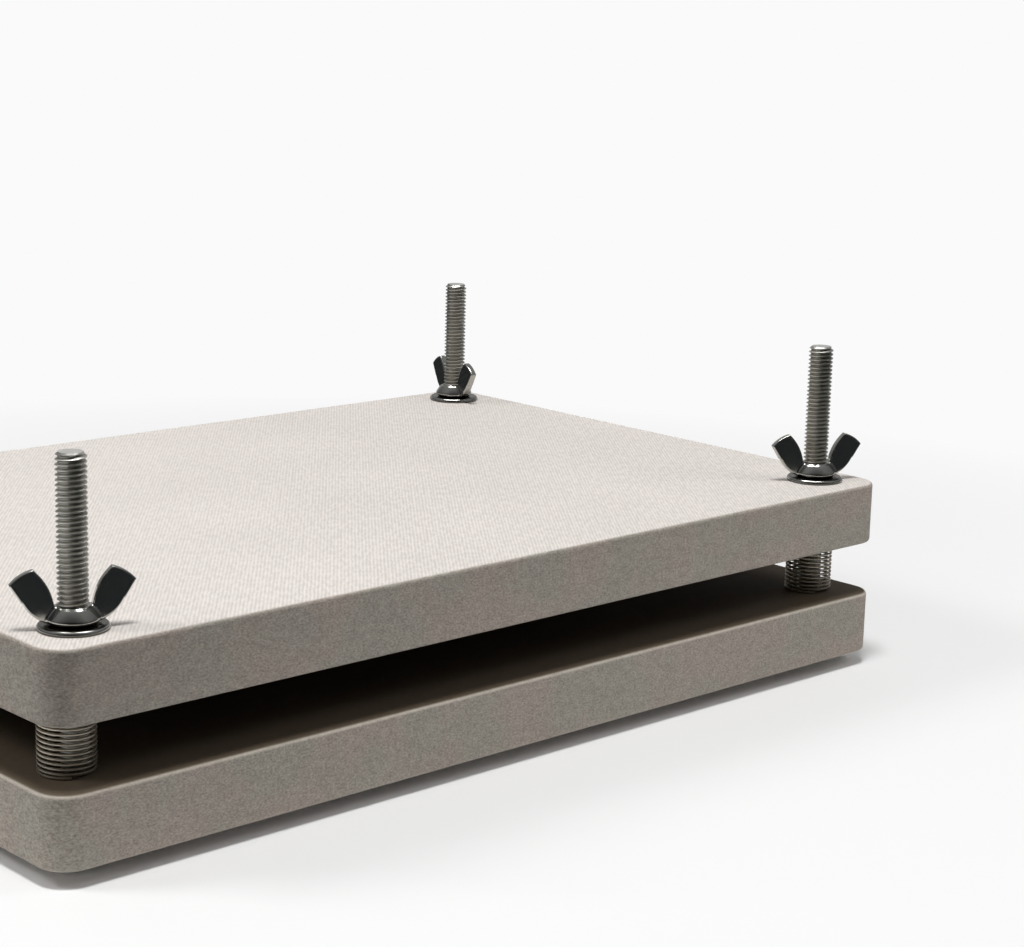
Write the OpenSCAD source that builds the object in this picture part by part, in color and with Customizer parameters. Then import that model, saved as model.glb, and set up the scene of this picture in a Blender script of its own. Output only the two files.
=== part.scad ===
// Screw press for small books: two boards drawn together by wing nuts on four upright
// bolts, with a compression spring round each bolt between the boards. The origin is on
// the table, midway along and across the press. X runs along the boards, Y from the
// front edge to the back edge, and Z up.

/* [Boards] */
// Length of each board
board_len = 304.8; // [240:0.8:400]
// Width of each board
board_wid = 203.2; // [150:0.8:260]
// Thickness of each board
board_thick = 19.05; // [12:0.05:25]
// Radius of the boards' upright corners
corner_r = 8.5; // [5:0.5:12]
// Radius of the round along the boards' top and bottom edges
edge_r = 1; // [0.4:0.1:2]
// Space between the boards, which the springs hold open
board_gap = 16.5; // [15:0.5:24]
// Distance from a board's two nearest edges in to each bolt
bolt_inset = 15.5; // [13:0.5:20]
// Clearance round a bolt where the upper board slides on it
slide_clear = 0.6; // [0.3:0.1:1]

/* [Bolts] */
// Diameter over the crests of the bolt's thread
bolt_dia = 7.6; // [6:0.1:8]
// Length of a bolt from under its head to its tip
bolt_len = 97.5; // [85:0.5:120]
// Height of the bevel at a bolt's tip
tip_bevel = 0.8; // [0.4:0.1:1.5]
// Diameter of the domed head, which serves as a foot
head_dia = 20; // [16:0.5:24]
// Height of the domed head
head_h = 4.4; // [3.5:0.1:6]
// Height of the head's upright rim
rim_h = 0.8; // [0.4:0.1:1.5]
// Diameter of the flat on the crown of the head
land_dia = 6; // [3:0.5:9]
// Side of the square neck under the head
neck_side = 8.2; // [7:0.1:10]
// Depth of the square neck in the lower board
neck_h = 4.5; // [3:0.1:6]
// Clearance round a bolt's neck and shank in the lower board
seat_clear = 0.08; // [0.05:0.01:0.3]

/* [Washers] */
// Outside diameter of a washer
washer_dia = 17.6; // [15:0.1:20]
// Thickness of a washer
washer_thick = 1.4; // [1:0.1:2]
// Clearance round a bolt in a washer's hole
washer_clear = 0.35; // [0.2:0.05:0.6]
// Radius of the rounded rim of a washer
washer_edge_r = 0.4; // [0.2:0.05:0.45]

/* [Wing nuts] */
// Distance across the tips of the two wings
nut_span = 30; // [26:0.2:36]
// Height from the nut's seat to the tops of the wings
nut_h = 13.5; // [11.5:0.1:18]
// Thickness of a wing where it leaves the hub
wing_root_thick = 2.6; // [1.8:0.1:3]
// Thickness of a wing at its tip
wing_tip_thick = 2; // [1:0.1:2.6]
// Wall of the hub round its bore at its widest
hub_waist_wall = 2.8; // [2:0.1:4]
// Wall of the hub round its bore where it bears on the washer
hub_seat_wall = 1.6; // [1:0.1:1.9]
// Wall of the hub round its bore at its top
hub_top_wall = 1; // [0.9:0.05:1.9]
// Height of the hub
hub_h = 4.4; // [3.6:0.1:7]
// Height of the hub's widest level above its seat
hub_waist_h = 1; // [0.6:0.1:1.8]
// Radius of the rounded rim at the top of the hub
hub_rim_r = 0.4; // [0.2:0.05:0.6]
// Clearance round a bolt in a nut's bore
nut_clear = 0.1; // [0.02:0.01:0.1]
// Depth of the countersink at each end of a nut's bore
bore_sink = 0.4; // [0.2:0.05:0.5]

/* [Springs] */
// Diameter of the spring wire
wire_dia = 0.75; // [0.5:0.05:0.8]
// Outside diameter of a spring
spring_dia = 14.6; // [13:0.1:17]
// Number of curls in a spring
spring_turns = 13; // [8:0.5:13]
// Clearance between each end of a spring and the board it pushes on
spring_clear = 0.2; // [0.1:0.05:0.4]

/* [Hidden] */
$fn = 64;

// Corners by number, each with its side along X and along Y
FRONT_LEFT = 0;
FRONT_RIGHT = 1;
REAR_RIGHT = 2;
REAR_LEFT = 3;
corner_sides = [[-1, -1], [1, -1], [1, 1], [-1, 1]];

// Direction in which each nut's first wing points, in degrees from X
wing_headings = [-24, -27, 77, 30];
// Direction in which each spring has slipped sideways on its bolt, in degrees from X
spring_headings = [148, 128, 60, 250];
// How much of its play round the bolt each spring has slipped
spring_slip_shares = [0.75, 0.15, 0.3, 0.3];
// Direction of the lower end of each spring's wire, in degrees from X
spring_starts = [247, 240, 120, 30];

// Heights
lower_z = head_h;
gap_z = lower_z + board_thick;
upper_z = gap_z + board_gap;
washer_z = upper_z + board_thick;
nut_z = washer_z + washer_thick;

// Radii round a bolt's axis
bolt_r = bolt_dia / 2;
head_r = head_dia / 2;
land_r = land_dia / 2;
washer_r = washer_dia / 2;
nut_bore_r = bolt_r + nut_clear;
hub_waist_r = nut_bore_r + hub_waist_wall;
hub_seat_r = nut_bore_r + hub_seat_wall;
hub_top_r = nut_bore_r + hub_top_wall;
wing_reach = nut_span / 2;

// Ball whose surface is the dome of a bolt's head
dome_h = head_h - rim_h;
dome_z = (head_r * head_r + dome_h * dome_h - land_r * land_r) / (2 * dome_h);
dome_r = sqrt(land_r * land_r + dome_z * dome_z);

// Corners of a wing's outline, as shares of its reach and of the nut's height
wing_heel_shares = [0.8, 0.41];
wing_tip_shares = [1, 0.74];
wing_top_shares = [0.62, 1];
// How far the wing's edges bulge, as shares of their lengths
belly_share = 0.09;
crown_share = 0.085;
brow_share = 0.09;
// Place of the wing's root in the hub's wall, as a share of the wall
root_share = 0.4;
// Step in the edge of a wing at its heel
heel_step = 0.35;
// Number of straight pieces in each curved edge of an outline
arc_steps = 8;

// Helix of a spring
wire_r = wire_dia / 2;
coil_r = spring_dia / 2 - wire_r;
coil_rise = board_gap - 2 * spring_clear - wire_dia;
spring_play = coil_r - wire_r - bolt_r;
rings_per_turn = 8;
wire_sides = 6;
ring_count = round(spring_turns * rings_per_turn);

// Overrun of a cut past the face that it opens
cut = 1;

board_color = [0.80, 0.77, 0.73];
steel_color = [0.62, 0.62, 0.60];
bright_color = [0.80, 0.80, 0.78];
spring_color = [0.72, 0.71, 0.67];

// Places its children on the bolt axis of one corner at height z
module at_corner(number, z) {
  side = corner_sides[number];
  x = side[0] * (board_len / 2 - bolt_inset);
  y = side[1] * (board_wid / 2 - bolt_inset);
  translate([x, y, z]) children();
}

// Places its children on all four bolt axes at height z
module at_corners(z) {
  for (number = [FRONT_LEFT : REAR_LEFT]) at_corner(number, z) children();
}

// Upright section through a board of the given width, with its edges rounded
module board_section(width) {
  flat = width / 2 - edge_r;
  translate([-flat, 0]) square([2 * flat, board_thick]);
  translate([-width / 2, edge_r]) square([width, board_thick - 2 * edge_r]);
  for (side = [-1, 1]) {
    translate([side * flat, edge_r]) circle(edge_r);
    translate([side * flat, board_thick - edge_r]) circle(edge_r);
  }
}

// Half of the upright section through a board's rounded corner
module corner_section() {
  flat = corner_r - edge_r;
  square([flat, board_thick]);
  translate([0, edge_r]) square([corner_r, board_thick - 2 * edge_r]);
  translate([flat, edge_r]) circle(edge_r);
  translate([flat, board_thick - edge_r]) circle(edge_r);
}

// Board with its underside at height zero
module blank_board() {
  straight_len = board_len - 2 * corner_r;
  straight_wid = board_wid - 2 * corner_r;
  rotate([90, 0, 0]) linear_extrude(straight_wid, center = true) board_section(board_len);
  rotate([90, 0, 90]) linear_extrude(straight_len, center = true) board_section(board_wid);
  for (side = corner_sides) {
    x = side[0] * straight_len / 2;
    y = side[1] * straight_wid / 2;
    translate([x, y, 0]) rotate_extrude() corner_section();
  }
}

// Board that stands on the bolts' heads and grips their square necks
module lower_board() {
  neck_hole = neck_side + 2 * seat_clear;
  color(board_color) difference() {
    translate([0, 0, lower_z]) blank_board();
    at_corners(lower_z - cut) cylinder(h = board_thick + 2 * cut, r = bolt_r + seat_clear);
    at_corners(lower_z - cut) translate([-neck_hole / 2, -neck_hole / 2, 0])
      cube([neck_hole, neck_hole, neck_h + seat_clear + cut]);
  }
}

// Board that slides on the bolts
module upper_board() {
  color(board_color) difference() {
    translate([0, 0, upper_z]) blank_board();
    at_corners(upper_z - cut) cylinder(h = board_thick + 2 * cut, r = bolt_r + slide_clear);
  }
}

// Bolt with a domed head, a square neck and a bevelled tip
module bolt() {
  color(steel_color) {
    intersection() {
      cylinder(h = head_h, r = head_r);
      translate([0, 0, dome_z]) sphere(dome_r);
    }
    translate([-neck_side / 2, -neck_side / 2, head_h]) cube([neck_side, neck_side, neck_h]);
    translate([0, 0, head_h]) cylinder(h = bolt_len - tip_bevel, r = bolt_r);
    translate([0, 0, head_h + bolt_len - tip_bevel])
      cylinder(h = tip_bevel, r1 = bolt_r, r2 = bolt_r - tip_bevel);
  }
}

// Flat washer with rounded rims
module washer() {
  color(bright_color) rotate_extrude() difference() {
    union() {
      square([washer_r - washer_edge_r, washer_thick]);
      translate([0, washer_edge_r]) square([washer_r, washer_thick - 2 * washer_edge_r]);
      translate([washer_r - washer_edge_r, washer_edge_r]) circle(washer_edge_r);
      translate([washer_r - washer_edge_r, washer_thick - washer_edge_r]) circle(washer_edge_r);
    }
    translate([0, -cut]) square([bolt_r + washer_clear, washer_thick + 2 * cut]);
  }
}

// Points on an arc from one point to another, which bulges to the right by a share of
// its length, without the last point
function arc_points(from, to, share) = [
  for (step = [0 : arc_steps - 1])
    let (
      along = step / arc_steps,
      bulge = 4 * share * along * (1 - along),
      span = to - from
    )
    from + along * span + bulge * [span[1], -span[0]]
];

// Outline of one wing, standing in the plane of the bolt's axis
function wing_outline() =
  let (
    root_r = nut_bore_r + root_share * hub_top_wall,
    sole = [hub_waist_r, hub_waist_h / 2],
    heel = [wing_heel_shares[0] * wing_reach, wing_heel_shares[1] * nut_h],
    ledge = heel + [heel_step, heel_step / 2],
    tip = [wing_tip_shares[0] * wing_reach, wing_tip_shares[1] * nut_h],
    top = [wing_top_shares[0] * wing_reach, wing_top_shares[1] * nut_h],
    shoulder = [hub_top_r - hub_rim_r, hub_h]
  )
  concat(
    [[root_r, hub_waist_h / 2]],
    arc_points(sole, heel, belly_share),
    [heel, ledge],
    arc_points(tip, top, crown_share),
    arc_points(top, shoulder, brow_share),
    [shoulder, [root_r, hub_h - hub_rim_r]]
  );

// Plan of one wing, which thins towards its tip
function wing_plan() = [
  [0, -wing_root_thick / 2],
  [wing_reach, -wing_tip_thick / 2],
  [wing_reach, wing_tip_thick / 2],
  [0, wing_root_thick / 2]
];

// Half section of the hub without its bore
module hub_section() {
  polygon([
    [0, 0],
    [hub_seat_r, 0],
    [hub_waist_r, hub_waist_h],
    [hub_top_r, hub_h - hub_rim_r],
    [hub_top_r - hub_rim_r, hub_h - hub_rim_r],
    [0, hub_h - hub_rim_r]
  ]);
  translate([0, hub_h - 2 * hub_rim_r]) square([hub_top_r - hub_rim_r, 2 * hub_rim_r]);
  translate([hub_top_r - hub_rim_r, hub_h - hub_rim_r]) circle(hub_rim_r);
}

// Wing nut, with its seat at height zero and its first wing along X
module wing_nut() {
  color(bright_color) difference() {
    union() {
      rotate_extrude() hub_section();
      for (turn = [0, 180]) rotate([0, 0, turn]) intersection() {
        rotate([90, 0, 0]) linear_extrude(wing_root_thick, center = true)
          polygon(wing_outline());
        linear_extrude(nut_h) polygon(wing_plan());
      }
    }
    translate([0, 0, -cut]) cylinder(h = hub_h + 2 * cut, r = nut_bore_r);
    cylinder(h = bore_sink, r1 = nut_bore_r + bore_sink, r2 = nut_bore_r);
    translate([0, 0, hub_h - bore_sink])
      cylinder(h = bore_sink, r1 = nut_bore_r, r2 = nut_bore_r + bore_sink);
  }
}

// Places a nut on its corner, turned to its heading
module corner_nut(number) {
  at_corner(number, nut_z) rotate([0, 0, wing_headings[number]]) wing_nut();
}

// Six points round the wire at one ring of the helix
function wire_ring(ring) =
  let (
    turn = 360 * ring / rings_per_turn,
    outward = [cos(turn), sin(turn), 0],
    slope = atan(coil_rise / (spring_turns * 2 * PI * coil_r)),
    upward = [sin(turn) * sin(slope), -cos(turn) * sin(slope), cos(slope)],
    centre = coil_r * outward + [0, 0, wire_r + coil_rise * ring / ring_count]
  )
  [
    for (side = [0 : wire_sides - 1])
      let (angle = 90 + 360 * side / wire_sides)
      centre + wire_r * (cos(angle) * outward + sin(angle) * upward)
  ];

// All rings of the helix, from its lower end to its upper end
wire_rings = [for (ring = [0 : ring_count]) wire_ring(ring)];

// Least distance between points on neighbouring curls
least_wire_gap = min([
  for (ring = [0 : ring_count - rings_per_turn])
    for (low = wire_rings[ring])
      for (high = wire_rings[ring + rings_per_turn]) norm(high - low)
]);
echo(least_wire_gap = least_wire_gap);

// Compression spring as one unbroken tube, with its lower end at height zero
module spring() {
  last = ring_count * wire_sides;
  walls = [
    for (ring = [0 : ring_count - 1])
      for (side = [0 : wire_sides - 1])
        let (
          a = ring * wire_sides + side,
          b = ring * wire_sides + (side + 1) % wire_sides
        )
        each [[a, b, b + wire_sides], [a, b + wire_sides, a + wire_sides]]
  ];
  lower_end = [for (side = [1 : wire_sides - 2]) [0, side + 1, side]];
  upper_end = [for (side = [1 : wire_sides - 2]) [last, last + side, last + side + 1]];
  points = [for (ring = wire_rings) each ring];
  color(spring_color) polyhedron(points, concat(walls, lower_end, upper_end));
}

// Places a spring on its corner, slipped to one side and turned
module corner_spring(number) {
  slip = spring_slip_shares[number] * spring_play;
  at_corner(number, gap_z + spring_clear)
    rotate([0, 0, spring_headings[number]]) translate([slip, 0, 0])
      rotate([0, 0, spring_starts[number] - spring_headings[number]]) spring();
}

lower_board();
upper_board();
at_corner(FRONT_LEFT, 0) bolt();  // bolt_front_left
at_corner(FRONT_RIGHT, 0) bolt();  // bolt_front_right
at_corner(REAR_RIGHT, 0) bolt();  // bolt_rear_right
at_corner(REAR_LEFT, 0) bolt();  // bolt_rear_left
corner_spring(FRONT_LEFT);  // spring_front_left
corner_spring(FRONT_RIGHT);  // spring_front_right
corner_spring(REAR_RIGHT);  // spring_rear_right
corner_spring(REAR_LEFT);  // spring_rear_left
at_corner(FRONT_LEFT, washer_z) washer();  // washer_front_left
at_corner(FRONT_RIGHT, washer_z) washer();  // washer_front_right
at_corner(REAR_RIGHT, washer_z) washer();  // washer_rear_right
at_corner(REAR_LEFT, washer_z) washer();  // washer_rear_left
corner_nut(FRONT_LEFT);  // wing_nut_front_left
corner_nut(FRONT_RIGHT);  // wing_nut_front_right
corner_nut(REAR_RIGHT);  // wing_nut_rear_right
corner_nut(REAR_LEFT);  // wing_nut_rear_left
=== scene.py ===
"""Looks of a small screw press for books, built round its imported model.

Two fibreboards are drawn together by wing nuts on four upright bolts, and a coil spring
round each bolt holds them apart. Meshes are built in millimetres, in the frame of the
model, and brought to metres when a piece is finished. Finishes and the studio are in metres.
"""

import logging
import math
from dataclasses import dataclass
from enum import Enum
from typing import Any

import bmesh
import bpy
import numpy as np
from mathutils import Matrix, Vector


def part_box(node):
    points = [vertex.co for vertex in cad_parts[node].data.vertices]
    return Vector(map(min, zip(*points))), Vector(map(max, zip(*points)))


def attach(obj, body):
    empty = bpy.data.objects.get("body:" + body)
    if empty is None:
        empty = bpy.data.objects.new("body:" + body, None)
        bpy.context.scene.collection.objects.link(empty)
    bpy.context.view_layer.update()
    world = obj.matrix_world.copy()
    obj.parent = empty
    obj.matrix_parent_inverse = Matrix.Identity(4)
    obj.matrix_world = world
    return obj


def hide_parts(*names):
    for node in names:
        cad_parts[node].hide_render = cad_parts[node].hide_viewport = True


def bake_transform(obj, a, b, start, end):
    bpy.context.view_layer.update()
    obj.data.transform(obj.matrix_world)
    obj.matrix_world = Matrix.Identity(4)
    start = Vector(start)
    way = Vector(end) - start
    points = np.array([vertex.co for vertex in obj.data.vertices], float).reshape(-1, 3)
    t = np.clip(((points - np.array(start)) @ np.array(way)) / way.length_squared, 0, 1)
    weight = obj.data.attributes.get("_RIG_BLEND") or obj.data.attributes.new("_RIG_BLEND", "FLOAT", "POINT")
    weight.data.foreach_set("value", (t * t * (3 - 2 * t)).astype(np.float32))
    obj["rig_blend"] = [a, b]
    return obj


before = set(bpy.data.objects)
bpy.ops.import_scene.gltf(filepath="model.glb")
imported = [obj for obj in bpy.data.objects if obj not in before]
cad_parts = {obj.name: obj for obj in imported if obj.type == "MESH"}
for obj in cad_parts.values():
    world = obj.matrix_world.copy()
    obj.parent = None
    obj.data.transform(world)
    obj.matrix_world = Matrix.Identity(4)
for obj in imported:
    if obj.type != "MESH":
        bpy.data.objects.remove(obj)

LOG = logging.getLogger("book_press")
METRES_PER_MM = 0.001
FULL_TURN = 2 * math.pi

BMesh = bmesh.types.BMesh
Mesh = bpy.types.Mesh
Node = bpy.types.Node
Object = bpy.types.Object
Socket = bpy.types.NodeSocket
Ring = list[bmesh.types.BMVert]
Colour = tuple[float, float, float]
Point2 = tuple[float, float]
Point3 = tuple[float, float, float]


@dataclass(frozen=True)
class Corner:
    """One corner of the press, and how its loose pieces happen to stand.

    Attributes:
        name: The end of the names of its nodes.
        nut_heading: Direction of the nut's first wing, in degrees from X.
        slip_heading: Direction in which the spring has slipped, in degrees from X.
        slip_share: How much of its play round the bolt the spring has slipped.
        spring_start: Direction of the lower end of the spring's wire, in degrees from X.
    """

    name: str
    nut_heading: float
    slip_heading: float
    slip_share: float
    spring_start: float

    def spot(self, z: float) -> Vector:
        """Returns the point of the bolt's axis at height z, in millimetres."""
        low, high = box_mm("bolt_" + self.name)
        return Vector(((low.x + high.x) / 2, (low.y + high.y) / 2, z))


CORNERS = (
    Corner("front_left", nut_heading=-24, slip_heading=148, slip_share=0.75, spring_start=247),
    Corner("front_right", nut_heading=-27, slip_heading=128, slip_share=0.15, spring_start=240),
    Corner("rear_right", nut_heading=77, slip_heading=60, slip_share=0.3, spring_start=120),
    Corner("rear_left", nut_heading=30, slip_heading=250, slip_share=0.3, spring_start=30),
)


class Body(str, Enum):
    """The moving bodies of the press, apart from the four nuts, which have one each."""

    BASE = "base"
    PLATEN = "platen"


class Slot(str, Enum):
    """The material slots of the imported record."""

    BOARD = "board"
    BOLT = "bolt_steel"
    BRIGHT = "bright_steel"
    SPRING = "spring_steel"


def box_mm(node: str) -> tuple[Vector, Vector]:
    """Returns the lowest and highest corners at rest of a named node, in millimetres."""
    low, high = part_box(node)
    return low / METRES_PER_MM, high / METRES_PER_MM


def opaque(colour: Colour) -> tuple[float, float, float, float]:
    """Returns a colour with full cover."""
    return (*colour, 1.0)


class Term:
    """A number in a node tree. Plain arithmetic on it adds maths nodes to the tree."""

    def __init__(self, graph: "Graph", socket: Socket) -> None:
        """Keeps the graph and the socket that gives the number."""
        self.graph = graph
        self.socket = socket

    def __add__(self, other: Any) -> "Term":
        """Returns the sum with a term or a plain number."""
        return self.graph.maths("ADD", self, other)

    def __sub__(self, other: Any) -> "Term":
        """Returns the difference from a term or a plain number."""
        return self.graph.maths("SUBTRACT", self, other)

    def __mul__(self, other: Any) -> "Term":
        """Returns the product with a term or a plain number."""
        return self.graph.maths("MULTIPLY", self, other)

    def __truediv__(self, other: Any) -> "Term":
        """Returns the quotient by a term or a plain number."""
        return self.graph.maths("DIVIDE", self, other)


@dataclass
class Graph:
    """A node tree of a material, a world or a geometry group, filled a node at a time."""

    tree: bpy.types.NodeTree

    def add(self, kind: str, inputs: dict[Any, Any] | None = None, **settings: Any) -> Node:
        """Adds a node and returns it.

        Args:
            kind: Blender's name for the type of node.
            inputs: What feeds its inputs, by name or by number.
            settings: Values for its own properties.
        """
        node = self.tree.nodes.new(kind)
        for name, value in settings.items():
            setattr(node, name, value)
        self.feed(node, inputs or {})
        return node

    def feed(self, node: Node, inputs: dict[Any, Any]) -> None:
        """Links inputs of a node, or sets their values.

        Args:
            node: The node.
            inputs: By name or number of the input, a term, a socket, a node whose first output
                is meant, or a plain value.
        """
        for key, value in inputs.items():
            if isinstance(value, Term):
                value = value.socket
            if isinstance(value, Node):
                value = value.outputs[0]
            if isinstance(value, Socket):
                self.tree.links.new(value, node.inputs[key])
            else:
                node.inputs[key].default_value = value

    def maths(self, operation: str, *values: Any) -> Term:
        """Adds a maths node that does one of Blender's operations, and returns its result."""
        node = self.add("ShaderNodeMath", dict(enumerate(values)), operation=operation)
        return Term(self, node.outputs[0])

    def ramp(self, value: Any, source: Point2, target: Point2 = (0.0, 1.0)) -> Term:
        """Adds a clamped map from a source range to a target range, and returns its result."""
        ends = dict(zip(("From Min", "From Max", "To Min", "To Max"), (*source, *target)))
        return Term(self, self.add("ShaderNodeMapRange", {"Value": value, **ends}, clamp=True).outputs[0])

    def noise(self, place: Any, scale: float, detail: float = 2.0, roughness: float = 0.5) -> Term:
        """Adds a noise of that many lumps in a metre, and returns it, from 0 to 1."""
        inputs = {"Vector": place, "Scale": scale, "Detail": detail, "Roughness": roughness}
        return Term(self, self.add("ShaderNodeTexNoise", inputs).outputs[0])

    def between(self, share: Any, first: Any, second: Any) -> Term:
        """Adds a mix of two numbers that takes a share of the second, and returns it."""
        inputs = {0: share, 2: first, 3: second}
        return Term(self, self.add("ShaderNodeMix", inputs, data_type="FLOAT").outputs[0])

    def blend(self, share: Any, first: Any, second: Any, kind: str = "MIX") -> Socket:
        """Adds a mix of two colours.

        Args:
            share: How much of the second colour is taken.
            first: First colour, plain or a socket.
            second: Second colour, plain or a socket.
            kind: Blender's name for the way of mixing.

        Returns:
            The mixed colour.
        """
        first, second = (opaque(part) if isinstance(part, tuple) else part for part in (first, second))
        inputs = {0: share, 6: first, 7: second}
        return self.add("ShaderNodeMix", inputs, data_type="RGBA", blend_type=kind).outputs[2]

    def shaded(self, colour: Colour, tone: Term) -> Socket:
        """Adds a plain colour whose brightness a tone scales, and returns it."""
        return self.blend(1.0, colour, self.joined(tone, tone, tone), "MULTIPLY")

    def joined(self, x: Any, y: Any, z: Any) -> Node:
        """Adds a vector made of three numbers, and returns its node."""
        return self.add("ShaderNodeCombineXYZ", {0: x, 1: y, 2: z})

    def parts(self, vector: Any) -> list[Term]:
        """Adds a node that takes a vector apart, and returns its three numbers."""
        return [Term(self, part) for part in self.add("ShaderNodeSeparateXYZ", {0: vector}).outputs]

    def place(self) -> Socket:
        """Adds the coordinates of the object itself, and returns them."""
        return self.add("ShaderNodeTexCoord").outputs["Object"]

    def attribute(self, name: str) -> Term:
        """Adds a named attribute of the mesh, and returns it."""
        return Term(self, self.add("ShaderNodeAttribute", attribute_name=name).outputs["Fac"])

    def along(self, vector: Any, heading: float) -> Term:
        """Adds how far a vector reaches in one level direction, and returns it.

        Args:
            vector: The vector.
            heading: The direction, in degrees from X.
        """
        towards = (math.cos(math.radians(heading)), math.sin(math.radians(heading)), 0.0)
        node = self.add("ShaderNodeVectorMath", {0: vector, 1: towards}, operation="DOT_PRODUCT")
        return Term(self, node.outputs["Value"])

    def stretched(self, place: Any, scales: Point3, turn: float = 0.0) -> Socket:
        """Adds a mapping that turns a place about Z and then scales it.

        Args:
            place: The place to map.
            scales: Scale along each axis after the turn.
            turn: Turn about Z, in degrees.

        Returns:
            The mapped place.
        """
        rotation = (0.0, 0.0, math.radians(turn))
        turned = self.add("ShaderNodeMapping", {"Vector": place, "Rotation": rotation})
        return self.add("ShaderNodeMapping", {"Vector": turned, "Scale": scales}).outputs[0]


@dataclass(frozen=True)
class Finish:
    """What every finish has: the name of its material."""

    name: str

    def material(self) -> bpy.types.Material:
        """Returns the finish's material, which is made when it is first asked for."""
        found = bpy.data.materials.get(self.name)
        if found is None:
            found = bpy.data.materials.new(self.name)
            found.use_nodes = True
            self.fill(Graph(found.node_tree), found.node_tree.nodes["Principled BSDF"])
        return found

    def fill(self, graph: Graph, shader: Node) -> None:
        """Feeds the principled shader of the material whose tree the graph fills."""
        raise NotImplementedError


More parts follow.
